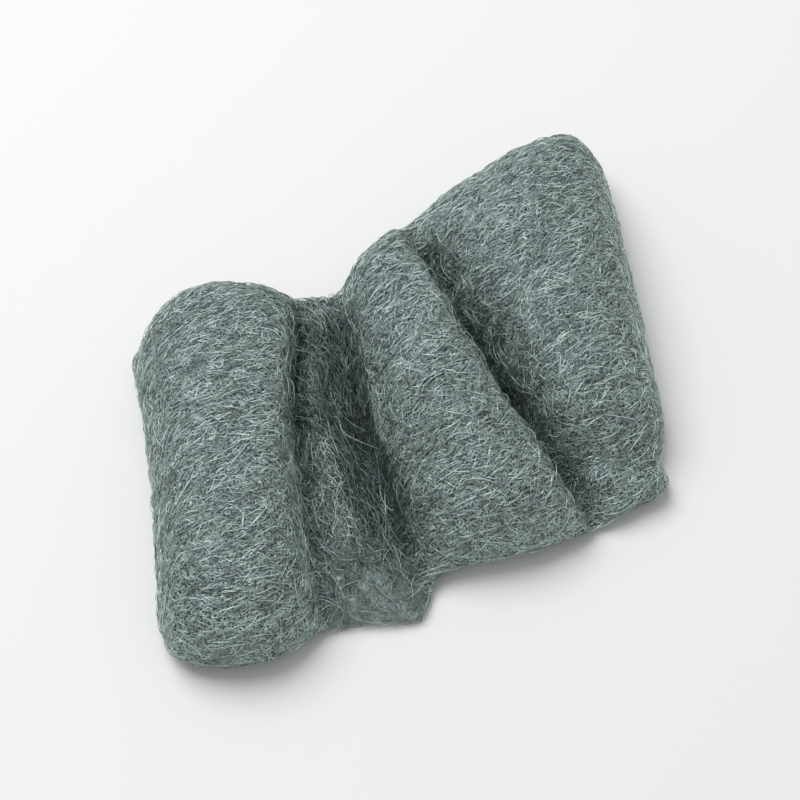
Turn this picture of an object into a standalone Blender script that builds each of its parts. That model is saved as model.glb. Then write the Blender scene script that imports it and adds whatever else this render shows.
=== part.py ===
# A wad of steel wool: one ribbon of wool fibres, gathered along its length into three soft
# billows. A wide valley with a low ruffle in it lies between the left and the middle billow,
# and a narrow pinched crease lies between the middle and the right one.
#
# The ribbon is lofted through fold lines. Each fold line runs across the ribbon from its near
# edge to its far edge, and the wool rises to a crest or dips to a crease along it.
# Metres, +Z up. The origin is the centre of the bounding box, on the surface the wad lies on.

import math

import bmesh
import bpy
import numpy as np
from mathutils import noise

MM = 0.001

# Driving sizes in millimetres.
EDGE_ROUND = 18.0       # how far in from the near and far edges the wool takes to reach full height
END_ROUND = 15.0        # the same at the left and right ends of the ribbon
EDGE_FULLNESS = 2.4     # exponent of the rounding: 2 is a quarter circle, more is squarer
RIM_SHARE = 0.30        # height of the widest outline, as a share of the height above it
UNDER_ROUND = 9.0       # width of the rounded underside edge, outside the flat base
LUMP_HEIGHT = 0.9       # how far the wool swells and sinks unevenly
LUMP_SPACING = 15.0     # from one such swelling to the next
TUFT_HEIGHT = 1.3       # how far the loose tufts in the wide valley stand up and sink
TUFT_SPACING = 7.2      # from one tuft to the next
RING_STEP = 1.75        # spacing of the lofted sections along the ribbon
CROSS_STEP = 2.1        # spacing of the points across the ribbon, between its rounded edges
EDGE_STEPS = 8          # points round each edge

# Fold lines from the ribbon's left end to its right end, in millimetres: the near and the far
# end in plan, how far the middle of the line bows towards the right, and the height of the
# wool at the near edge, in the middle and at the far edge.
FOLD_LINES = {
    "left_end": {"near": (-56.0, -68.0), "far": (-67.4, 8.8), "bow": 1.6, "height": (15, 17, 14)},
    "left_shoulder": {"near": (-50.8, -76.2), "far": (-60.0, 20.5), "bow": 1.0, "height": (20, 24, 20)},
    "left_crest": {"near": (-40.0, -78.2), "far": (-46.5, 27.0), "bow": -0.5, "height": (23, 27, 23)},
    "left_fall": {"near": (-29.5, -76.6), "far": (-36.0, 26.8), "bow": -1.8, "height": (21, 27, 22)},
    "left_lip": {"near": (-21.2, -70.6), "far": (-28.6, 25.9), "bow": -2.6, "height": (16, 25, 17)},
    "left_crease": {"near": (-15.6, -66.4), "far": (-24.0, 26.8), "bow": -4.6, "height": (6, 7, 11)},
    "ruffle": {"near": (-6.0, -65.0), "far": (-20.0, 27.4), "bow": -7.2, "height": (6, 13, 12)},
    "tongue_edge": {"near": (4.8, -64.2), "far": (-17.0, 28.2), "bow": -6.9, "height": (5, 9, 12)},
    "right_crease": {"near": (7.2, -59.2), "far": (-15.2, 28.8), "bow": -6.0, "height": (5, 6, 12)},
    "middle_foot": {"near": (8.8, -53.2), "far": (-13.9, 31.2), "bow": -5.4, "height": (11, 16, 16)},
    "middle_shoulder": {"near": (14.0, -51.2), "far": (-12.0, 34.0), "bow": -4.8, "height": (18, 24, 20)},
    "middle_crest": {"near": (27.0, -48.6), "far": (-7.8, 38.8), "bow": -4.2, "height": (21, 28, 22)},
    "middle_lip": {"near": (42.5, -42.4), "far": (-3.2, 43.4), "bow": -3.4, "height": (15, 27, 22)},
    "pinched_crease": {"near": (47.4, -39.2), "far": (0.0, 45.8), "bow": -3.2, "height": (5, 12, 21)},
    "right_foot": {"near": (50.3, -37.6), "far": (4.0, 49.2), "bow": -2.4, "height": (10, 20, 21)},
    "right_shoulder": {"near": (54.3, -35.4), "far": (11.4, 56.4), "bow": -1.2, "height": (13, 26, 22)},
    "right_crest": {"near": (59.3, -32.7), "far": (29.4, 70.4), "bow": 0.2, "height": (13, 28, 23)},
    "right_rise": {"near": (63.8, -29.9), "far": (43.6, 76.8), "bow": 1.0, "height": (12, 26, 22)},
    "right_end": {"near": (66.6, -25.0), "far": (53.8, 72.2), "bow": 0.5, "height": (9, 17, 15)},
}

# The fold lines with loose tufts on them, and where those fade out towards the near edge, as
# shares of the way across the ribbon: the end of the valley there is smooth.
TUFTED_LINES = ("left_crease", "ruffle", "tongue_edge", "right_crease")
TUFTS_FADE = (0.15, 0.30)

# Tucks pressed into the top, in millimetres: start and end in plan, depth, half width.
TUCKS = {
    "right_tuck": {"start": (42.0, -25.5), "end": (64.0, -20.5), "depth": 6.0, "half_width": 5.0},
    "pinch_far": {"start": (6.5, 30.0), "end": (11.0, 24.0), "depth": 4.0, "half_width": 4.0},
    "pinch_upper": {"start": (17.5, 10.0), "end": (21.0, 4.0), "depth": 4.5, "half_width": 4.5},
    "pinch_lower": {"start": (26.0, -5.5), "end": (30.5, -11.5), "depth": 5.0, "half_width": 4.5},
    "middle_dimple": {"start": (-6.0, -17.0), "end": (0.5, -31.0), "depth": 3.0, "half_width": 6.0},
    "left_corner_dip": {"start": (-62.0, 3.0), "end": (-50.0, 12.0), "depth": 2.5, "half_width": 5.0},
}

# The notch where the right tuck runs out over the end of the ribbon.
NOTCH = {"at": (67.6, -20.4), "depth": 3.2, "half_width": 4.2}

WOOL_COLOUR = (0.155, 0.190, 0.185, 1.0)
WOOL_ROUGHNESS = 0.55
WOOL_METALLIC = 0.8


def clear_scene():
    for obj in list(bpy.data.objects):
        bpy.data.objects.remove(obj, do_unlink=True)


def smooth_curve(positions, values, samples):
    """Values at the samples, on a curve through the given ones that never overshoots them."""
    positions = np.asarray(positions, float)
    values = np.asarray(values, float)
    gaps = np.diff(positions)
    slopes = np.diff(values) / gaps
    tangents = np.zeros(len(values))
    tangents[0], tangents[-1] = slopes[0], slopes[-1]
    for i in range(1, len(values) - 1):
        before, after = slopes[i - 1], slopes[i]
        if before * after > 0:
            w_before = 2 * gaps[i] + gaps[i - 1]
            w_after = gaps[i] + 2 * gaps[i - 1]
            tangents[i] = (w_before + w_after) / (w_before / before + w_after / after)
    span = np.clip(np.searchsorted(positions, samples, side="right") - 1, 0, len(gaps) - 1)
    t = (samples - positions[span]) / gaps[span]
    return (
        (2 * t**3 - 3 * t**2 + 1) * values[span]
        + (t**3 - 2 * t**2 + t) * gaps[span] * tangents[span]
        + (3 * t**2 - 2 * t**3) * values[span + 1]
        + (t**3 - t**2) * gaps[span] * tangents[span + 1]
    )


def stations_along(lines):
    """Where each fold line crosses the ribbon's middle, as a length along it."""
    middles = np.array([(np.array(f["near"]) + np.array(f["far"])) / 2 for f in lines])
    return np.concatenate([[0.0], np.cumsum(np.linalg.norm(np.diff(middles, axis=0), axis=1))])


def eased_positions(length, reach, step):
    """Positions from 0 to length, closer together within the given reach of both ends."""
    quarter = np.linspace(0.0, math.pi / 2, EDGE_STEPS + 1)
    start = reach * (1 - np.cos(quarter))
    spans = max(1, round((length - 2 * reach) / step))
    middle = np.linspace(reach, length - reach, spans + 1)[1:-1]
    return np.concatenate([start, middle, (length - start)[::-1]])


def rounding(distance, reach):
    """From 0 at a rim to 1 at the given reach from it, along a soft quarter round."""
    inward = np.clip(1 - distance / reach, 0, 1)
    return (1 - inward**EDGE_FULLNESS) ** (1 / EDGE_FULLNESS)


def distance_to_segment(points, start, end):
    start, end = np.asarray(start, float), np.asarray(end, float)
    along = end - start
    share = np.clip((points - start) @ along / (along @ along), 0, 1)
    return np.linalg.norm(points - (start + share[..., None] * along), axis=-1)


def lumps(plan):
    """Uneven swelling of the wool, from a smooth noise over the plan."""
    flat = plan.reshape(-1, 2) / LUMP_SPACING
    swell = [noise.noise((x, y, 0.0)) for x, y in flat]
    return 2 * LUMP_HEIGHT * np.reshape(swell, plan.shape[:2])


def valley_tufts(stations, rings, shares, plan):
    """Loose tufts that stand up unevenly along the tufted fold lines."""
    tufted = smooth_curve(stations, [float(name in TUFTED_LINES) for name in FOLD_LINES], rings)
    start, end = TUFTS_FADE
    whole = np.clip((shares - start) / (end - start), 0, 1)
    flat = plan.reshape(-1, 2) / (0.7 * TUFT_SPACING)
    stand = [noise.noise((x, y, 5.0)) for x, y in flat]
    return 2 * TUFT_HEIGHT * np.reshape(stand, plan.shape[:2]) * tufted[:, None] * whole


def ribbon_plan(lines, stations, rings, shares):
    """Plan positions of every point of every ring, with the ring widths and sideways headings."""
    near = np.stack([smooth_curve(stations, [f["near"][k] for f in lines], rings) for k in (0, 1)], 1)
    far = np.stack([smooth_curve(stations, [f["far"][k] for f in lines], rings) for k in (0, 1)], 1)
    bow = smooth_curve(stations, [f["bow"] for f in lines], rings)
    across = far - near
    widths = np.linalg.norm(across, axis=1)
    sideways = np.stack([across[:, 1], -across[:, 0]], 1) / widths[:, None]
    bulge = bow[:, None] * 4 * shares * (1 - shares)
    plan = (
        near[:, None] + shares[None, :, None] * across[:, None]
        + bulge[..., None] * sideways[:, None]
    )
    from_notch = np.linalg.norm(plan - np.array(NOTCH["at"]), axis=2)
    pushed = NOTCH["depth"] * np.exp(-((from_notch / NOTCH["half_width"]) ** 2))
    return plan - pushed[..., None] * sideways[:, None], widths


def crown_heights(lines, stations, rings, shares, plan):
    """Full height of the wool over the plan, before its edges are rounded off."""
    low, mid, high = (smooth_curve(stations, [f["height"][k] for f in lines], rings) for k in range(3))
    crown = (
        low[:, None] * (1 - shares) ** 2 + high[:, None] * shares**2
        + (4 * mid - low - high)[:, None] * shares * (1 - shares)
    )
    for tuck in TUCKS.values():
        away = distance_to_segment(plan, tuck["start"], tuck["end"])
        crown = crown - tuck["depth"] * np.exp(-((away / tuck["half_width"]) ** 2))
    return crown + lumps(plan) + valley_tufts(stations, rings, shares, plan)


def ribbon_surface():
    """The plan, top and underside of the ribbon in millimetres, as grids of rings by points."""
    lines = list(FOLD_LINES.values())
    stations = stations_along(lines)
    rings = eased_positions(stations[-1], END_ROUND, RING_STEP)
    longest = max(math.dist(f["near"], f["far"]) for f in lines)
    shares = eased_positions(longest, EDGE_ROUND, CROSS_STEP) / longest
    plan, widths = ribbon_plan(lines, stations, rings, shares)
    crown = crown_heights(lines, stations, rings, shares, plan)

    from_edge = np.minimum(shares, 1 - shares)[None] * widths[:, None]
    from_left = np.linalg.norm(plan - plan[:1], axis=2)
    from_right = np.linalg.norm(plan - plan[-1:], axis=2)
    from_end = np.minimum(from_left, from_right)
    full = rounding(from_edge, EDGE_ROUND) * rounding(from_end, END_ROUND)
    tucked = rounding(from_edge, UNDER_ROUND) * rounding(from_end, UNDER_ROUND)
    rim = RIM_SHARE * crown
    top = rim + (crown - rim) * full
    underside = rim * (1 - tucked)
    return plan, top, underside


def wool_material():
    material = bpy.data.materials.new("steel_wool")
    material.use_nodes = True
    shader = material.node_tree.nodes["Principled BSDF"]
    shader.inputs["Base Color"].default_value = WOOL_COLOUR
    shader.inputs["Roughness"].default_value = WOOL_ROUGHNESS
    shader.inputs["Metallic"].default_value = WOOL_METALLIC
    return material


def build_batt():
    """One closed solid: a top and an underside that share the rim all the way round."""
    plan, top, underside = ribbon_surface()
    flat = plan.reshape(-1, 2)
    plan = plan - (flat.max(axis=0) + flat.min(axis=0)) / 2
    rings, points = top.shape
    mesh = bmesh.new()

    def vertex(i, j, height):
        return mesh.verts.new((plan[i, j, 0] * MM, plan[i, j, 1] * MM, height[i, j] * MM))

    upper = [[vertex(i, j, top) for j in range(points)] for i in range(rings)]
    lower = [
        [
            upper[i][j] if i in (0, rings - 1) or j in (0, points - 1) else vertex(i, j, underside)
            for j in range(points)
        ]
        for i in range(rings)
    ]
    base = []
    for i in range(rings - 1):
        for j in range(points - 1):
            mesh.faces.new((upper[i][j], upper[i + 1][j], upper[i + 1][j + 1], upper[i][j + 1]))
            under = (lower[i][j], lower[i][j + 1], lower[i + 1][j + 1], lower[i + 1][j])
            face = mesh.faces.new(under)
            if max(corner.co.z for corner in under) == 0.0:
                base.append(face)
    flat_base = bmesh.ops.dissolve_faces(mesh, faces=base, use_verts=True)["region"]
    bmesh.ops.triangulate(mesh, faces=flat_base, ngon_method="BEAUTY")

    data = bpy.data.meshes.new("steel_wool")
    mesh.to_mesh(data)
    mesh.free()
    data.shade_smooth()
    data.materials.append(wool_material())
    batt = bpy.data.objects.new("steel_wool", data)
    bpy.context.scene.collection.objects.link(batt)
    return batt


clear_scene()
build_batt()
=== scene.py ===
import math

import bpy
import numpy as np
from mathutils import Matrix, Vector, noise


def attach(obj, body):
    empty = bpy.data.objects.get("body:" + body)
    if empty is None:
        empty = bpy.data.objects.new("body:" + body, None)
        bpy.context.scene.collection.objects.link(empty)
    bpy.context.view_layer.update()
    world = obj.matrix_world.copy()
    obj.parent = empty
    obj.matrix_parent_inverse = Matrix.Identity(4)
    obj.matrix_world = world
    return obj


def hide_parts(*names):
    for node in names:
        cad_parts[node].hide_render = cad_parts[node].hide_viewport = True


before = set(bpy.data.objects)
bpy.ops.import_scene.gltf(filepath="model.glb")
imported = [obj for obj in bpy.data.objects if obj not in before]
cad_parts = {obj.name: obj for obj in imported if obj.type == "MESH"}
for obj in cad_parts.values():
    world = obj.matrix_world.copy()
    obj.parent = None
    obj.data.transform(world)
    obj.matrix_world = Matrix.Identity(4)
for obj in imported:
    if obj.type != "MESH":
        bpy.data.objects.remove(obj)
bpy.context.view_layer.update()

mm = 0.001
wadNode = "steel_wool"
wadBody = "root"
strandMap = "OFBake"  # the strands' own UV map: across is the strand's tone, up is the way along it


# Small helpers for node trees

def plug(tree, node, inputs):
    for key, value in inputs.items():
        if isinstance(value, bpy.types.NodeSocket):
            tree.links.new(value, node.inputs[key])
        else:
            node.inputs[key].default_value = value


def addNode(tree, kind, inputs=None, **options):
    node = tree.nodes.new(kind)
    for name, value in options.items():
        setattr(node, name, value)
    plug(tree, node, inputs or {})
    return node


def number(tree, operation, *values):
    node = addNode(tree, "ShaderNodeMath", dict(enumerate(values)), operation=operation)
    return node.outputs[0]


def vector(tree, operation, *values):
    node = addNode(tree, "ShaderNodeVectorMath", dict(enumerate(values)), operation=operation)
    return node.outputs["Vector"]


def scaled(tree, value, factor):
    node = addNode(tree, "ShaderNodeVectorMath", {0: value, "Scale": factor}, operation="SCALE")
    return node.outputs["Vector"]


def mapped(tree, value, low, high, newLow, newHigh):
    inputs = {"Value": value, 1: low, 2: high, 3: newLow, 4: newHigh}
    return addNode(tree, "ShaderNodeMapRange", inputs).outputs["Result"]


def named(tree, name, kind):
    node = addNode(tree, "GeometryNodeInputNamedAttribute", {"Name": name}, data_type=kind)
    return node.outputs["Attribute"]


def stored(tree, geometry, name, kind, domain, value):
    inputs = {"Geometry": geometry, "Name": name, "Value": value}
    node = addNode(tree, "GeometryNodeStoreNamedAttribute", inputs, data_type=kind, domain=domain)
    return node.outputs["Geometry"]


def randomNumber(tree, low, high, seed):
    inputs = {2: low, 3: high, "Seed": seed}
    return addNode(tree, "FunctionNodeRandomValue", inputs, data_type="FLOAT").outputs[1]


def noiseVector(tree, position, perMetre):
    # smooth noise in three directions, each about -1 to 1
    inputs = {"Vector": position, "Scale": perMetre, "Detail": 1.0}
    colour = addNode(tree, "ShaderNodeTexNoise", inputs).outputs["Color"]
    return scaled(tree, vector(tree, "SUBTRACT", colour, (0.5, 0.5, 0.5)), 3.0)


# The way the fibres lie

lay = {
    "alongX": (-60 * mm, -30 * mm, 0.0, 60 * mm),   # places along the wad
    "headings": (19.0, 24.0, 31.0, 33.0),           # degrees from +X that the fibres run in, there
    "valleyHeading": -70.0,                         # down in the wide valley they run along it
}

# Middle lines of the two folds on the table, from the far edge to the near one, and half widths
valley = {
    "line": ((-18.8 * mm, 28.5 * mm), (-17.0 * mm, -16.8 * mm), (-3.4 * mm, -62.1 * mm)),
    "halfWidths": (4.5 * mm, 7.5 * mm, 11.5 * mm),
    "reach": 1.25,            # it ends this many half widths from its middle line
    "blend": 0.5,             # and fades in over this many
    "floorHeight": 15.0 * mm,
    "over": 4.0 * mm,         # what lies further above the floor height isn't in it
    "overBlend": 6.0 * mm,
    "facing": 0.2,            # nor is what faces further down than this
    "facingBlend": 0.4,
}
pinch = {
    "line": ((0.9 * mm, 46.5 * mm), (21.8 * mm, 2.4 * mm), (48.3 * mm, -38.5 * mm)),
    "halfWidths": (4.0 * mm, 4.0 * mm, 4.0 * mm),
}

# How dark the folds are painted, as painted shade in the creases; each end is where a crease's shade
# starts to fade and where it is gone
folds = {
    "cell": 1.0 * mm,
    "reach": 13.0 * mm,       # folds narrower than twice this count as deep
    "depth": 15.0 * mm,       # and this far below the billows beside them, as deep as can be
    "leftEnd": (-10.0 * mm, -26.0 * mm, 0.85),   # the valley's left crease, and its strength
    "rightEnd": (-40.0 * mm, -54.0 * mm, 1.60),  # and the right one
    "farEnd": (11.0 * mm, 23.0 * mm),            # both of them, towards the far edge
    "farShare": 0.8,          # how much of the shade is gone there
    "valleyReach": 1.6,       # half widths from the valley's middle line that belong to its creases
    "pinchWidth": 4.8 * mm,
}
tongue = {"start": -42.0 * mm, "end": -52.0 * mm}  # the smooth near end of the valley
outerSides = {
    "steep": 0.75,            # what faces further up than this isn't one of them
    "steepBlend": 0.6,
    "under": 0.5,             # nor what faces further down than this
    "underBlend": 0.4,
}


def smoothStep(values):
    values = np.clip(values, 0, 1)
    return values * values * (3 - 2 * values)


def sideOf(places, fold):
    # signed distance to the right of a fold's middle line, and the fold's half width there
    line = np.array(fold["line"])
    order = np.argsort(line[:, 1])
    middle = np.interp(places[:, 1], line[order, 1], line[order, 0])
    half = np.interp(places[:, 1], line[order, 1], np.array(fold["halfWidths"])[order])
    return places[:, 0] - middle, half


def inValley(places, ups):
    offset, half = sideOf(places, valley)
    inside = smoothStep((half * valley["reach"] - np.abs(offset)) / (half * valley["blend"]))
    low = smoothStep((valley["floorHeight"] + valley["over"] - places[:, 2]) / valley["overBlend"])
    return inside * low * smoothStep((ups[:, 2] + valley["facing"]) / valley["facingBlend"])


def spread(grid, reach, pick):
    for axis in (0, 1):
        grid = pick.reduce([np.roll(grid, step, axis=axis) for step in range(-reach, reach + 1)])
    return grid


def paintedFoldShade(places, ups):
    # painted shade in the folds, from 0 to 1: how far each place lies below the billows on both sides of
    # it, faded and weighted crease by crease
    reach = round(folds["reach"] / folds["cell"])
    corner = places[:, :2].min(axis=0) - (2 * reach + 2) * folds["cell"]
    spots = ((places[:, :2] - corner) / folds["cell"]).astype(int)
    across, along = spots[:, 0], spots[:, 1]
    heights = np.zeros(spots.max(axis=0) + 2 * reach + 3)
    np.maximum.at(heights, (across, along), places[:, 2])
    heights = spread(heights, 1, np.maximum)
    filled = spread(spread(heights, reach, np.maximum), reach, np.minimum)
    depth = (filled[across, along] - places[:, 2]) / folds["depth"]
    offset, half = sideOf(places, valley)
    near = np.abs(offset) < folds["valleyReach"] * half
    faded = np.ones(len(places))
    creases = ((offset < 0, folds["leftEnd"]), (offset >= 0, folds["rightEnd"]))
    for side, (start, end, strength) in creases:
        fade = strength * (1 - smoothStep((start - places[:, 1]) / (start - end)))
        faded = np.where(near & side, fade, faded)
    start, end = folds["farEnd"]
    faded = faded * (1 - folds["farShare"] * smoothStep((places[:, 1] - start) / (end - start)))
    fromPinch = np.abs(sideOf(places, pinch)[0]) / folds["pinchWidth"]
    faded = np.where(near, faded, np.exp(-(fromPinch**2)))
    return np.clip(np.clip(depth, 0, 1) * faded, 0, 1) * (ups[:, 2] > 0)


def onTongue(places, ups):
    share = (tongue["start"] - places[:, 1]) / (tongue["start"] - tongue["end"])
    return smoothStep(share) * inValley(places, ups)


def atRim(places, ups):
    # 1 on the steep outer sides, 0 on top, in the folds and underneath
    steep = smoothStep((outerSides["steep"] - ups[:, 2]) / outerSides["steepBlend"])
    steep = steep * smoothStep((ups[:, 2] + outerSides["under"]) / outerSides["underBlend"])
    return steep * (1 - paintedFoldShade(places, ups))


def fibreFlow(places, ups):
    heading = np.radians(np.interp(places[:, 0], lay["alongX"], lay["headings"]))
    flow = np.stack([np.cos(heading), np.sin(heading), np.zeros(len(places))], 1)
    turned = math.radians(lay["valleyHeading"])
    down = np.array((math.cos(turned), math.sin(turned), 0.0))
    share = inValley(places, ups)[:, None]
    flow = flow * (1 - share) + down * share
    flow -= ups * np.sum(flow * ups, axis=1)[:, None]  # laid flat on the surface
    return flow / np.maximum(np.linalg.norm(flow, axis=1), 1e-6)[:, None]


# The dense wool under the loose surface fibres

dense = {
    "voxel": 1.0 * mm,
    "inset": 0.45 * mm,         # how far it lies below the solid's surface
    "tuftHeight": 0.45 * mm,
    "tuftSpacing": 3.2 * mm,
    "tuftPattern": (1.0, 2.0, 3),   # the noise's roughness, step between sizes and number of sizes
    "clearance": 0.15 * mm,     # above the table
    "underGrain": 0.1,          # moves the underside's pattern away from the top's
}
softened = {
    "start": -20.0 * mm,   # from here to the near end, the left billow's lip runs down into the tongue
    "end": -40.0 * mm,
    "width": 9.0 * mm,
    "facing": 0.3,         # only what faces further up than this moves freely
    "rounds": 40,
}


def placesAndUps(mesh):
    places = np.empty(len(mesh.vertices) * 3, np.float32)
    ups = np.empty(len(mesh.vertices) * 3, np.float32)
    mesh.vertices.foreach_get("co", places)
    mesh.vertex_normals.foreach_get("vector", ups)
    return places.reshape(-1, 3).astype(float), ups.reshape(-1, 3).astype(float)


def putAttribute(mesh, name, kind, values):
    layer = mesh.attributes.new(name, kind, "POINT")
    key = "value" if kind == "FLOAT" else "vector"
    layer.data.foreach_set(key, np.ascontiguousarray(values, np.float32).ravel())


def putPlaces(mesh, places):
    mesh.vertices.foreach_set("co", places.astype(np.float32).ravel())
    mesh.update()


def softenLip(mesh):
    # each point moves to the mean of its neighbours, round after round
    places, ups = placesAndUps(mesh)
    offset, half = sideOf(places, valley)
    share = smoothStep((softened["start"] - places[:, 1]) / (softened["start"] - softened["end"]))
    across = np.exp(-(((offset + half) / softened["width"]) ** 2))
    share *= across * smoothStep(ups[:, 2] / softened["facing"])
    pairs = np.empty(len(mesh.edges) * 2, np.int32)
    mesh.edges.foreach_get("vertices", pairs)
    here = np.concatenate([pairs[0::2], pairs[1::2]])
    there = np.concatenate([pairs[1::2], pairs[0::2]])
    count = np.maximum(np.bincount(here, minlength=len(places)), 1)
    for step in range(softened["rounds"]):
        sums = [np.bincount(here, places[there, axis], len(places)) for axis in range(3)]
        places += (np.stack(sums, 1) / count[:, None] - places) * share[:, None]
    putPlaces(mesh, places)


def makeDenseWool():
    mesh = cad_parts[wadNode].data.copy()
    mesh.materials.clear()
    wool = bpy.data.objects.new("dense_wool", mesh)
    bpy.context.scene.collection.objects.link(wool)
    remesh = wool.modifiers.new("even faces", "REMESH")
    remesh.mode = "VOXEL"
    remesh.voxel_size = dense["voxel"]
    remesh.use_smooth_shade = True
    graph = bpy.context.evaluated_depsgraph_get()
    wool.data = bpy.data.meshes.new_from_object(wool.evaluated_get(graph))
    wool.modifiers.clear()

    softenLip(wool.data)
    places, ups = placesAndUps(wool.data)
    spots = [Vector(place) / dense["tuftSpacing"] for place in places]
    tufts = np.array([noise.fractal(spot, *dense["tuftPattern"]) for spot in spots])
    places += ups * (tufts * dense["tuftHeight"] - dense["inset"])[:, None]
    places[:, 2] = np.maximum(places[:, 2], dense["clearance"])
    putPlaces(wool.data, places)

    places, ups = placesAndUps(wool.data)
    putAttribute(wool.data, "up", "FLOAT_VECTOR", ups)
    putAttribute(wool.data, "flow", "FLOAT_VECTOR", fibreFlow(places, ups))
    putAttribute(wool.data, "grain", "FLOAT_VECTOR", grainPlaces(places, ups))
    putAttribute(wool.data, "valley", "FLOAT", inValley(places, ups))
    # painted shade in the folds
    putAttribute(wool.data, "fold_shade", "FLOAT", paintedFoldShade(places, ups))
    putAttribute(wool.data, "tongue", "FLOAT", onTongue(places, ups))
    putAttribute(wool.data, "rim", "FLOAT", atRim(places, ups))
    print("dense wool", len(wool.data.polygons), "faces")
    return wool


def grainPlaces(places, ups):
    # a flat pattern's coordinates: along the fibres and across them, carried down over the sides
    heading = math.radians(np.mean(lay["headings"]))
    ahead = np.array((math.cos(heading), math.sin(heading), 0.0))
    across = np.array((-math.sin(heading), math.cos(heading), 0.0))
    drop = places[:, 2]
    along = places @ ahead - drop * (ups @ ahead)
    athwart = places @ across - drop * (ups @ across)
    return np.stack([along, athwart, np.where(ups[:, 2] < 0, dense["underGrain"], 0.0)], 1)


# The tree that lays fibres on the dense wool

fibreInputs = {
    "Surface": "NodeSocketGeometry",
    "Cover": "NodeSocketFloat",          # fibres to a square metre, where the cover attribute is 1
    "Reach": "NodeSocketFloat",          # length of a fibre
    "Thickness": "NodeSocketFloat",
    "Points": "NodeSocketInt",           # points along each fibre
    "Spread": "NodeSocketFloat",         # how far a fibre may point away from its neighbours, in degrees
    "Swirl": "NodeSocketFloat",          # how far whole tufts turn, in degrees
    "Swirl Spacing": "NodeSocketFloat",
    "Bend": "NodeSocketFloat",           # tightest curve of a fibre, as one over its radius
    "Wave": "NodeSocketFloat",
    "Wave Spacing": "NodeSocketFloat",
    "Lift": "NodeSocketFloat",           # how high a fibre arches over the dense wool
    "Sink": "NodeSocketFloat",           # how deep its ends go
    "Smoothing": "NodeSocketInt",        # how often its kinks are evened out
    "Table": "NodeSocketFloat",          # lowest height of a fibre's middle
    "Fold Shade": "NodeSocketFloat",       # painted shade: how much darker the fibres are, deep in a fold; the tongue's fibres get a share of it
    "Rim Painted Light": "NodeSocketFloat",   # and how much paler on the outer sides: painted light that evens out their darker shading
    "Rim Spread": "NodeSocketFloat",     # and how much further they point apart there, in degrees
    "Seed": "NodeSocketInt",
    "Material": "NodeSocketMaterial",
}

# What all fibres share
fibre = {
    "sizes": (0.55, 1.45),       # shortest and longest, as shares of the reach
    "heights": (0.1, 1.0),       # lowest and highest, as shares of the lift
    "archPower": 0.6,            # lower makes the arch flatter in the middle
    "ripple": 0.5,               # how much of the height goes up and down with the wave
    "leastCurve": 0.37,          # keeps a straight fibre's radius from being endless
    "waveShift": (1.0, 0.7, 0.3),   # sets each fibre's wave apart from its neighbours'
    "corners": 3,                # round the wire
    "radii": (0.2, 0.5),         # at the ends and in the middle, as shares of the thickness
    "sizeRadii": (0.8, 1.2),     # of the shortest and the longest, as shares of that
    "tongueDarkening": 0.7,       # the tongue's fibres are darkened by this share of the fold shade
}
strandLayout = {  # of the UV map: a strand's width is a narrow strip, placed by its tone
    "left": 0.03,
    "strip": 0.02,
    "tones": 0.93,
    "bottom": 0.02,
    "length": 0.96,
}


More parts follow.
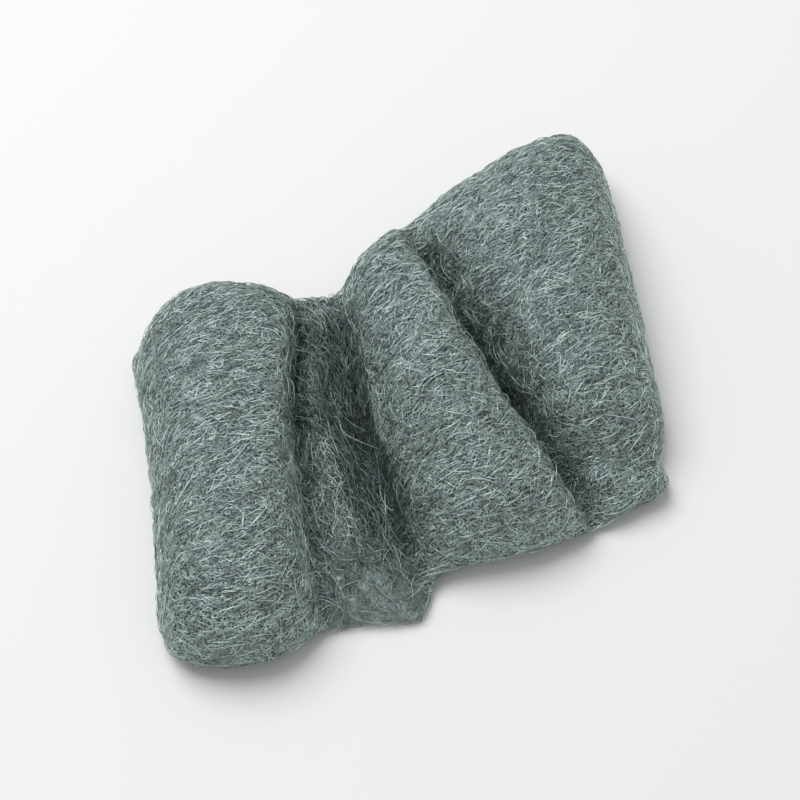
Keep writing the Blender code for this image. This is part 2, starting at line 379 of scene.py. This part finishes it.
def buildFibreTree():
    tree = bpy.data.node_groups.new("wool_fibres", "GeometryNodeTree")
    for name, kind in fibreInputs.items():
        tree.interface.new_socket(name, in_out="INPUT", socket_type=kind)
    tree.interface.new_socket("Fibres", in_out="OUTPUT", socket_type="NodeSocketGeometry")
    given = tree.nodes.new("NodeGroupInput").outputs

    # one root for each fibre, with its own headings and numbers
    cover = number(tree, "MULTIPLY", named(tree, "cover", "FLOAT"), given["Cover"])
    inputs = {"Mesh": given["Surface"], "Density": cover, "Seed": given["Seed"]}
    roots = addNode(tree, "GeometryNodeDistributePointsOnFaces", inputs).outputs["Points"]
    here = addNode(tree, "GeometryNodeInputPosition").outputs[0]
    up = named(tree, "up", "FLOAT_VECTOR")
    flow = named(tree, "flow", "FLOAT_VECTOR")
    side = vector(tree, "NORMALIZE", vector(tree, "CROSS_PRODUCT", up, flow))
    ahead = vector(tree, "NORMALIZE", vector(tree, "CROSS_PRODUCT", side, up))
    swirlNoise = noiseVector(tree, here, number(tree, "DIVIDE", 1.0, given["Swirl Spacing"]))
    swirlNoise = addNode(tree, "ShaderNodeSeparateXYZ", {0: swirlNoise}).outputs[0]
    first = randomNumber(tree, -1.0, 1.0, number(tree, "ADD", given["Seed"], 1))
    second = randomNumber(tree, -1.0, 1.0, number(tree, "ADD", given["Seed"], 2))
    rim = named(tree, "rim", "FLOAT")
    widest = number(tree, "MULTIPLY_ADD", rim, given["Rim Spread"], given["Spread"])
    loose = number(tree, "MULTIPLY", number(tree, "MULTIPLY", first, second), widest)
    yaw = number(tree, "RADIANS", number(tree, "MULTIPLY_ADD", swirlNoise, given["Swirl"], loose))
    cosine, sine = number(tree, "COSINE", yaw), number(tree, "SINE", yaw)
    lie = vector(tree, "ADD", scaled(tree, ahead, cosine), scaled(tree, side, sine))
    turned = vector(tree, "SUBTRACT", scaled(tree, side, cosine), scaled(tree, ahead, sine))
    tone = randomNumber(tree, 0.0, 1.0, number(tree, "ADD", given["Seed"], 3))
    # painted shade on the fibres deep in the folds, and darker fibres on the tongue
    smooth = number(tree, "MULTIPLY", named(tree, "tongue", "FLOAT"), fibre["tongueDarkening"])
    shaded = number(tree, "MAXIMUM", named(tree, "fold_shade", "FLOAT"), smooth)
    darkening = number(tree, "MULTIPLY", shaded, given["Fold Shade"])
    tone = number(tree, "MULTIPLY", tone, number(tree, "SUBTRACT", 1.0, darkening))
    # painted light on the outer sides
    tone = number(tree, "MULTIPLY_ADD", rim, given["Rim Painted Light"], tone)
    tone = number(tree, "MINIMUM", tone, 1.0)
    bend = randomNumber(tree, -1.0, 1.0, number(tree, "ADD", given["Seed"], 4))
    size = randomNumber(tree, *fibre["sizes"], number(tree, "ADD", given["Seed"], 5))
    height = randomNumber(tree, *fibre["heights"], number(tree, "ADD", given["Seed"], 6))
    for name, value in {"root": here, "lie": lie, "turned": turned}.items():
        roots = stored(tree, roots, name, "FLOAT_VECTOR", "POINT", value)
    for name, value in {"tone": tone, "bend": bend, "size": size, "height": height}.items():
        roots = stored(tree, roots, name, "FLOAT", "POINT", value)

    # a line at each root, bent into an arc and waved
    line = addNode(tree, "GeometryNodeCurvePrimitiveLine").outputs[0]
    inputs = {"Curve": line, "Count": given["Points"]}
    line = addNode(tree, "GeometryNodeResampleCurve", inputs, mode="COUNT").outputs[0]
    inputs = {"Points": roots, "Instance": line}
    strands = addNode(tree, "GeometryNodeInstanceOnPoints", inputs).outputs[0]
    strands = addNode(tree, "GeometryNodeRealizeInstances", {"Geometry": strands}).outputs[0]
    way = addNode(tree, "GeometryNodeSplineParameter").outputs["Factor"]
    strands = stored(tree, strands, "way", "FLOAT", "POINT", way)
    way = named(tree, "way", "FLOAT")
    size = named(tree, "size", "FLOAT")
    tone = named(tree, "tone", "FLOAT")
    reach = number(tree, "MULTIPLY", given["Reach"], size)
    run = number(tree, "MULTIPLY", number(tree, "SUBTRACT", way, 0.5), reach)
    curve = number(
        tree, "MULTIPLY_ADD", named(tree, "bend", "FLOAT"), given["Bend"], fibre["leastCurve"]
    )
    angle = number(tree, "MULTIPLY", run, curve)
    forward = number(tree, "DIVIDE", number(tree, "SINE", angle), curve)
    aside = number(tree, "SUBTRACT", 1.0, number(tree, "COSINE", angle))
    aside = number(tree, "DIVIDE", aside, curve)
    arc = vector(
        tree, "ADD",
        scaled(tree, named(tree, "lie", "FLOAT_VECTOR"), forward),
        scaled(tree, named(tree, "turned", "FLOAT_VECTOR"), aside),
    )
    place = vector(tree, "ADD", named(tree, "root", "FLOAT_VECTOR"), arc)
    ownPlace = vector(tree, "ADD", place, scaled(tree, fibre["waveShift"], tone))
    wave = noiseVector(tree, ownPlace, number(tree, "DIVIDE", 1.0, given["Wave Spacing"]))
    waved = vector(tree, "ADD", place, scaled(tree, wave, given["Wave"]))

    # laid on the surface, with its middle arched up and its ends sunk in
    inputs = {0: given["Surface"], "Sample Position": waved}
    onto = addNode(tree, "GeometryNodeProximity", inputs, target_element="FACES").outputs["Position"]
    inputs = {"Mesh": given["Surface"], "Value": up, "Sample Position": waved}
    upThere = addNode(
        tree, "GeometryNodeSampleNearestSurface", inputs, data_type="FLOAT_VECTOR"
    ).outputs["Value"]
    arch = number(tree, "SINE", number(tree, "MULTIPLY", way, math.pi))
    arch = number(tree, "POWER", number(tree, "MAXIMUM", arch, 0.0), fibre["archPower"])
    ripple = addNode(tree, "ShaderNodeSeparateXYZ", {0: wave}).outputs[2]
    top = number(tree, "MULTIPLY", given["Lift"], named(tree, "height", "FLOAT"))
    top = number(tree, "MULTIPLY_ADD", ripple, number(tree, "MULTIPLY", top, fibre["ripple"]), top)
    rise = number(tree, "MULTIPLY", arch, number(tree, "ADD", top, given["Sink"]))
    rise = number(tree, "SUBTRACT", rise, given["Sink"])
    laid = vector(tree, "ADD", onto, scaled(tree, upThere, rise))
    parts = addNode(tree, "ShaderNodeSeparateXYZ", {0: laid})
    above = number(tree, "MAXIMUM", parts.outputs[2], given["Table"])
    laid = addNode(
        tree, "ShaderNodeCombineXYZ", {0: parts.outputs[0], 1: parts.outputs[1], 2: above}
    ).outputs[0]
    strands = addNode(
        tree, "GeometryNodeSetPosition", {"Geometry": strands, "Position": laid}
    ).outputs[0]
    now = addNode(tree, "GeometryNodeInputPosition").outputs[0]
    inputs = {"Iterations": given["Smoothing"]}
    even = addNode(tree, "GeometryNodeBlurAttribute", inputs, data_type="FLOAT_VECTOR")
    vectorIn = next(socket for socket in even.inputs if socket.enabled and socket.name == "Value")
    tree.links.new(now, vectorIn)
    evened = next(socket for socket in even.outputs if socket.enabled)
    strands = addNode(
        tree, "GeometryNodeSetPosition", {"Geometry": strands, "Position": evened}
    ).outputs[0]

    # a thin tapered wire round each line
    share = mapped(tree, arch, 0.0, 1.0, *fibre["radii"])
    radius = number(tree, "MULTIPLY", given["Thickness"], share)
    share = mapped(tree, size, *fibre["sizes"], *fibre["sizeRadii"])
    radius = number(tree, "MULTIPLY", radius, share)
    inputs = {"Resolution": fibre["corners"], "Radius": 1.0}
    ring = addNode(tree, "GeometryNodeCurvePrimitiveCircle", inputs).outputs[0]
    around = addNode(tree, "GeometryNodeSplineParameter").outputs["Factor"]
    ring = stored(tree, ring, "around", "FLOAT", "POINT", around)
    inputs = {"Curve": strands, "Profile Curve": ring, "Scale": radius, "Fill Caps": True}
    wires = addNode(tree, "GeometryNodeCurveToMesh", inputs).outputs[0]
    around = named(tree, "around", "FLOAT")
    across = number(tree, "MULTIPLY_ADD", around, strandLayout["strip"], strandLayout["left"])
    across = number(tree, "MULTIPLY_ADD", tone, strandLayout["tones"], across)
    upward = number(tree, "MULTIPLY_ADD", way, strandLayout["length"], strandLayout["bottom"])
    spot = addNode(tree, "ShaderNodeCombineXYZ", {0: across, 1: upward}).outputs[0]
    wires = stored(tree, wires, strandMap, "FLOAT2", "CORNER", spot)
    wires = addNode(tree, "GeometryNodeRealizeInstances", {"Geometry": wires}).outputs[0]
    wires = addNode(
        tree, "GeometryNodeSetMaterial", {"Geometry": wires, "Material": given["Material"]}
    ).outputs[0]
    end = tree.nodes.new("NodeGroupOutput")
    tree.links.new(wires, end.inputs["Fibres"])
    return tree


# Materials

steel = {
    "dark": (0.030, 0.044, 0.045, 1.0),
    "middle": (0.335, 0.415, 0.402, 1.0),
    "bright": (0.670, 0.800, 0.772, 1.0),
    "middleTone": 0.55,
    "endLength": 0.3,        # a strand is darker towards its ends, over this share of its length
    "endDarkness": -0.30,
}


def buildSteelTint():
    # turns a tone from 0 to 1 into a steel colour, from oil-dark to freshly cut; the tones it is given
    # also carry painted shade in the folds and pits and painted light on the outer sides
    group = bpy.data.node_groups.new("steel_tint", "ShaderNodeTree")
    group.interface.new_socket("Tone", in_out="INPUT", socket_type="NodeSocketFloat")
    group.interface.new_socket("Colour", in_out="OUTPUT", socket_type="NodeSocketColor")
    given = group.nodes.new("NodeGroupInput").outputs
    ramp = addNode(group, "ShaderNodeValToRGB", {"Fac": given["Tone"]})
    stops = ramp.color_ramp.elements
    stops[0].color = steel["dark"]
    stops[1].color = steel["bright"]
    stops.new(steel["middleTone"]).color = steel["middle"]
    end = group.nodes.new("NodeGroupOutput")
    group.links.new(ramp.outputs["Color"], end.inputs["Colour"])
    return group


steelTint = buildSteelTint()


def tinted(tree, tone):
    node = addNode(tree, "ShaderNodeGroup", node_tree=steelTint)
    tree.links.new(tone, node.inputs["Tone"])
    return node.outputs["Colour"]


def newMaterial(name, metallic, roughness):
    material = bpy.data.materials.new(name)
    material.use_nodes = True
    shader = material.node_tree.nodes["Principled BSDF"]
    shader.inputs["Metallic"].default_value = metallic
    shader.inputs["Roughness"].default_value = roughness
    return material, material.node_tree, shader


def makeStrandMaterial():
    material, tree, shader = newMaterial("steel_strand", metallic=0.85, roughness=0.42)
    spot = addNode(tree, "ShaderNodeUVMap", uv_map=strandMap).outputs[0]
    parts = addNode(tree, "ShaderNodeSeparateXYZ", {0: spot})
    ends = number(tree, "PINGPONG", parts.outputs[1], 0.5)  # 0 at both ends, 0.5 half way along
    fade = mapped(tree, ends, 0.0, steel["endLength"], steel["endDarkness"], 0.0)
    tone = number(tree, "ADD", parts.outputs[0], fade)
    tree.links.new(tinted(tree, tone), shader.inputs["Base Color"])
    return material


ground = {
    "threads": (  # direction in degrees, length and width of each layer of short threads
        (0.0, 1.7 * mm, 0.26 * mm),
        (27.0, 1.3 * mm, 0.24 * mm),
        (-24.0, 1.4 * mm, 0.25 * mm),
    ),
    "noiseScale": 0.8,
    "distortion": 0.4,         # higher makes the threads wavier
    "valleyTurn": 85.0,        # degrees that the threads turn by, down in the valley
    "sharpness": 4.2,          # higher makes the threads narrower
    "bump": 0.25 * mm,
    "shadowPit": 0.55 * mm,          # size of the pits between threads: dips in the bump, painted dark as shadow
    "shadowPitEdges": (0.42, 0.50),  # levels of noise where a gap ends and where the threads are whole
    "patch": 11.0 * mm,        # size of paler and darker patches
    "patchContrast": 0.10,
    # tone between the threads and in the pits: painted shade in the gaps
    "darkest": 0.02,
    "contrast": 0.90,
    "tongueContrast": 0.35,
    "tonguePaleness": 0.26,
    # painted light: the outer sides are made paler, against their darker shading
    "rimPaintedLight": 0.05,
    "foldShade": 0.44,         # painted shade: how much darker it is, deep in a fold
}


def turnedFlat(tree, place, angle):
    inputs = {"Vector": place, "Angle": angle}
    return addNode(tree, "ShaderNodeVectorRotate", inputs, rotation_type="Z_AXIS").outputs[0]


def attribute(tree, name, output="Fac"):
    return addNode(tree, "ShaderNodeAttribute", attribute_name=name).outputs[output]


def noiseLevel(tree, place, scale, detail, distortion=0.0):
    inputs = {"Vector": place, "Scale": scale, "Detail": detail, "Distortion": distortion}
    return addNode(tree, "ShaderNodeTexNoise", inputs).outputs[0]


def threadLayer(tree, place, angle, length, width):
    # narrow wavy lines, about one width wide and one length long
    turned = turnedFlat(tree, place, math.radians(angle))
    stretch = vector(tree, "MULTIPLY", turned, (1.0 / length, 1.0 / width, 1.0))
    stretch = vector(tree, "ADD", stretch, (angle, 0.0, angle))
    level = noiseLevel(tree, stretch, ground["noiseScale"], 1.0, ground["distortion"])
    away = number(tree, "ABSOLUTE", number(tree, "SUBTRACT", level, 0.5))
    line = number(tree, "MULTIPLY", away, 2 * ground["sharpness"])
    return number(tree, "MAXIMUM", number(tree, "SUBTRACT", 1.0, line), 0.0)


def makeDenseMaterial():
    material, tree, shader = newMaterial("dense_steel", metallic=0.7, roughness=0.55)
    turn = number(tree, "MULTIPLY", attribute(tree, "valley"), math.radians(ground["valleyTurn"]))
    place = turnedFlat(tree, attribute(tree, "grain", "Vector"), turn)
    layers = [threadLayer(tree, place, *layer) for layer in ground["threads"]]
    threads = layers[0]
    for layer in layers[1:]:
        threads = number(tree, "MAXIMUM", threads, layer)
    where = addNode(tree, "ShaderNodeTexCoord").outputs["Object"]
    # painted shadow in the pits between threads
    shadowPits = noiseLevel(tree, where, 1.0 / ground["shadowPit"], 1.0)
    threads = number(tree, "MULTIPLY", threads, mapped(tree, shadowPits, *ground["shadowPitEdges"], 0.0, 1.0))
    patches = number(tree, "SUBTRACT", noiseLevel(tree, where, 1.0 / ground["patch"], 2.0), 0.5)
    pale = attribute(tree, "tongue")
    seen = mapped(tree, pale, 0.0, 1.0, ground["contrast"], ground["tongueContrast"])
    tone = number(tree, "MULTIPLY_ADD", threads, seen, ground["darkest"])
    shades = (
        (patches, ground["patchContrast"]),
        # painted shade in the folds
        (attribute(tree, "fold_shade"), -ground["foldShade"]),
        (pale, ground["tonguePaleness"]),
        # painted light on the outer sides
        (attribute(tree, "rim"), ground["rimPaintedLight"]),
    )
    for shade, strength in shades:
        tone = number(tree, "MULTIPLY_ADD", shade, strength, tone)
    tree.links.new(tinted(tree, tone), shader.inputs["Base Color"])
    inputs = {"Distance": ground["bump"], "Height": threads}
    tree.links.new(addNode(tree, "ShaderNodeBump", inputs).outputs[0], shader.inputs["Normal"])
    return material


strandMaterial = makeStrandMaterial()
denseWool = makeDenseWool()
denseWool.data.materials.append(makeDenseMaterial())
fibreTree = buildFibreTree()
print("tree and materials built")


# Loose surface fibres, piece by piece

strands = {
    "Cover": 0.24e6, "Reach": 8.5 * mm, "Thickness": 0.165 * mm, "Points": 7, "Spread": 75.0,
    "Swirl": 22.0, "Swirl Spacing": 9.0 * mm, "Bend": 120.0, "Wave": 0.5 * mm,
    "Wave Spacing": 3.0 * mm, "Lift": 0.75 * mm, "Sink": 0.45 * mm, "Table": 0.12 * mm,
    "Fold Shade": 0.60, "Rim Painted Light": 0.20, "Rim Spread": 110.0, "Smoothing": 1,
}
nap = {
    **strands, "Cover": 1.02e6, "Reach": 3.9 * mm, "Thickness": 0.16 * mm, "Points": 4,
    "Spread": 95.0, "Bend": 240.0, "Wave": 0.35 * mm, "Wave Spacing": 1.8 * mm, "Lift": 0.5 * mm,
    "Sink": 0.3 * mm, "Smoothing": 0,
}
messy = {"Spread": 110.0, "Swirl": 40.0, "Lift": 1.5 * mm}
pieces = {
    "left_billow_strands": {**strands, "Seed": 11},
    "left_billow_nap": {**nap, "Seed": 111},
    "middle_billow_strands": {**strands, "Seed": 23},
    "middle_billow_nap": {**nap, "Seed": 123},
    "right_billow_strands": {**strands, "Seed": 37},
    "right_billow_nap": {**nap, "Seed": 137},
    "valley_strands": {
        **strands, **messy, "Seed": 41, "Cover": 0.9e6, "Points": 8, "Reach": 11.0 * mm,
        "Bend": 200.0, "Wave": 0.9 * mm,
    },
    "valley_nap": {**nap, **messy, "Seed": 141, "Cover": 1.1e6},
    "underside_strands": {**strands, "Seed": 53, "Cover": 0.25e6, "Points": 5, "Thickness": 0.22 * mm},
    "lip_strands": {
        **strands, "Seed": 71, "Cover": 0.55e6, "Reach": 9.0 * mm, "Spread": 150.0, "Bend": 160.0,
        "Lift": 1.7 * mm, "Thickness": 0.15 * mm, "Fold Shade": 0.35,
    },
    "loose_curls": {
        **strands, "Seed": 67, "Cover": 0.05e6, "Points": 18, "Reach": 26.0 * mm, "Spread": 170.0,
        "Bend": 190.0, "Wave": 1.2 * mm, "Wave Spacing": 6.0 * mm, "Lift": 1.6 * mm, "Fold Shade": 0.0,
        "Thickness": 0.13 * mm, "Smoothing": 4,
    },
}


lips = {
    "valleyPlace": 1.5 * mm,    # outside the valley's half width
    "valleyWidth": 3.0 * mm,
    "pinchPlace": 4.5 * mm,     # from the pinched crease's middle line
    "pinchWidth": 2.5 * mm,
    "pinchShare": 0.7,
    "lowest": 9.0 * mm,
    "lowestBlend": 6.0 * mm,
    "facing": 0.1,
    "inset": 8.0 * mm,          # how far they stop short of the folds' ends
    "insetBlend": 5.0 * mm,
}
covering = {
    "underside": -0.35,         # what faces further down than this
    "valleyEdge": 0.5,
    "tongueBareness": 0.7,
}


def insideEnds(places, fold):
    ends = [point[1] for point in fold["line"]]
    far = smoothStep((max(ends) - lips["inset"] - places[:, 1]) / lips["insetBlend"])
    return far * smoothStep((places[:, 1] - min(ends) - lips["inset"]) / lips["insetBlend"])


def atLips(places, ups):
    # a band along both edges of each fold, high up and well inside the outline
    offset, half = sideOf(places, valley)
    away = (np.abs(offset) - half - lips["valleyPlace"]) / lips["valleyWidth"]
    valleyLip = np.exp(-(away**2)) * insideEnds(places, valley)
    away = (np.abs(sideOf(places, pinch)[0]) - lips["pinchPlace"]) / lips["pinchWidth"]
    pinchLip = np.exp(-(away**2)) * insideEnds(places, pinch)
    high = smoothStep((places[:, 2] - lips["lowest"]) / lips["lowestBlend"])
    high = high * (ups[:, 2] > lips["facing"])
    return np.maximum(valleyLip, lips["pinchShare"] * pinchLip) * high


def coverOf(name, places, ups):
    # where a piece's fibres grow, from 0 to 1
    under = (ups[:, 2] < covering["underside"]).astype(float)
    left = sideOf(places, valley)[0] < 0
    right = sideOf(places, pinch)[0] > 0
    inside = inValley(places, ups) > covering["valleyEdge"]
    masks = {
        "left_billow": left & ~inside,
        "middle_billow": ~left & ~right & ~inside,
        "right_billow": right & ~inside,
        "valley": inside,
        "loose": inside,
    }
    part = name.rsplit("_", 1)[0]
    if part == "underside":
        return under
    if part == "lip":
        return atLips(places, ups)
    cover = masks[part] * (1 - under)
    if part == "loose":
        return cover
    return cover * (1 - covering["tongueBareness"] * onTongue(places, ups))


def setInput(modifier, name, value):
    items = modifier.node_group.interface.items_tree
    socket = next(item for item in items if item.name == name and item.in_out == "INPUT")
    modifier[socket.identifier] = value


scratchNames = (
    "cover", "up", "flow", "grain", "valley", "fold_shade", "tongue", "rim", "root", "lie", "turned",
    "tone", "bend", "size", "height", "way", "around",
)


def makeFibres(name, settings):
    mesh = denseWool.data.copy()
    mesh.materials.clear()
    places, ups = placesAndUps(mesh)
    putAttribute(mesh, "cover", "FLOAT", coverOf(name, places, ups))
    piece = bpy.data.objects.new(name, mesh)
    bpy.context.scene.collection.objects.link(piece)
    modifier = piece.modifiers.new("fibres", "NODES")
    modifier.node_group = fibreTree
    for key, value in {**settings, "Material": strandMaterial}.items():
        setInput(modifier, key, value)
    graph = bpy.context.evaluated_depsgraph_get()
    piece.data = bpy.data.meshes.new_from_object(piece.evaluated_get(graph))
    piece.modifiers.clear()
    layers = piece.data.attributes
    for layerName in [layer.name for layer in layers if layer.name in scratchNames]:
        layers.remove(layers[layerName])
    piece.data.shade_smooth()
    piece.data.update()
    sides = np.empty(len(piece.data.polygons), np.int32)
    piece.data.polygons.foreach_get("loop_total", sides)
    print(name, int(np.sum(sides - 2)), "triangles")
    return piece


fibrePieces = [makeFibres(name, settings) for name, settings in pieces.items()]


# Floor, light and camera

studio = {
    "floorSize": 4.0,
    "floorColour": (0.85, 0.85, 0.85, 1.0),
    "floorGloss": 0.1,
    "ambient": 0.46,                     # strength of the world's light on the wad and the floor
    "lampSize": 1.0,
    "lampPower": 12.5,
    "lampPlace": (-0.45, 0.35, 1.15),
}
view = {
    "aim": (0.85 * mm, 0.70 * mm, 0.0),  # a point on the table near the wad's middle
    "elevation": 55.0,
    "lens": 100.0,
    "distance": 555.6 * mm,
}


def makeFloor():
    half = studio["floorSize"] / 2
    mesh = bpy.data.meshes.new("floor")
    corners = [(-half, -half, 0), (half, -half, 0), (half, half, 0), (-half, half, 0)]
    mesh.from_pydata(corners, [], [(0, 1, 2, 3)])
    floor = bpy.data.objects.new("floor", mesh)
    bpy.context.scene.collection.objects.link(floor)
    material, _, shader = newMaterial("pale_floor", metallic=0.0, roughness=0.9)
    shader.inputs["Base Color"].default_value = studio["floorColour"]
    shader.inputs["Specular IOR Level"].default_value = studio["floorGloss"]
    mesh.materials.append(material)
    return floor


def makeWorld():
    world = bpy.data.worlds.new("studio")
    bpy.context.scene.world = world
    world.use_nodes = True
    tree = world.node_tree
    ray = addNode(tree, "ShaderNodeLightPath").outputs
    seen = number(tree, "MAXIMUM", ray["Is Camera Ray"], ray["Is Glossy Ray"])
    seen = number(tree, "MAXIMUM", seen, ray["Is Transmission Ray"])
    strength = mapped(tree, seen, 0.0, 1.0, studio["ambient"], 1.0)
    tree.links.new(strength, tree.nodes["Background"].inputs["Strength"])
    tree.nodes["Background"].inputs["Color"].default_value = (1.0, 1.0, 1.0, 1.0)


def makeLamp():
    lamp = bpy.data.lights.new("softbox", "AREA")
    lamp.shape = "DISK"
    lamp.size = studio["lampSize"]
    lamp.energy = studio["lampPower"]
    holder = bpy.data.objects.new("softbox", lamp)
    holder.location = studio["lampPlace"]
    holder.rotation_euler = (-Vector(studio["lampPlace"])).to_track_quat("-Z", "Y").to_euler()
    bpy.context.scene.collection.objects.link(holder)


def makeCamera():
    camera = bpy.data.cameras.new("camera")
    camera.lens = view["lens"]
    camera.clip_start = 0.01
    holder = bpy.data.objects.new("camera", camera)
    tilt = math.radians(view["elevation"])
    back = Vector((0.0, -math.cos(tilt), math.sin(tilt)))
    holder.location = Vector(view["aim"]) + back * view["distance"]
    holder.rotation_euler = (-back).to_track_quat("-Z", "Y").to_euler()
    bpy.context.scene.collection.objects.link(holder)
    bpy.context.scene.camera = holder


floor = makeFloor()
makeWorld()
makeLamp()
makeCamera()
bpy.context.scene.view_settings.view_transform = "Standard"

for piece in [denseWool, *fibrePieces]:
    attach(piece, wadBody)
    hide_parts(wadNode)
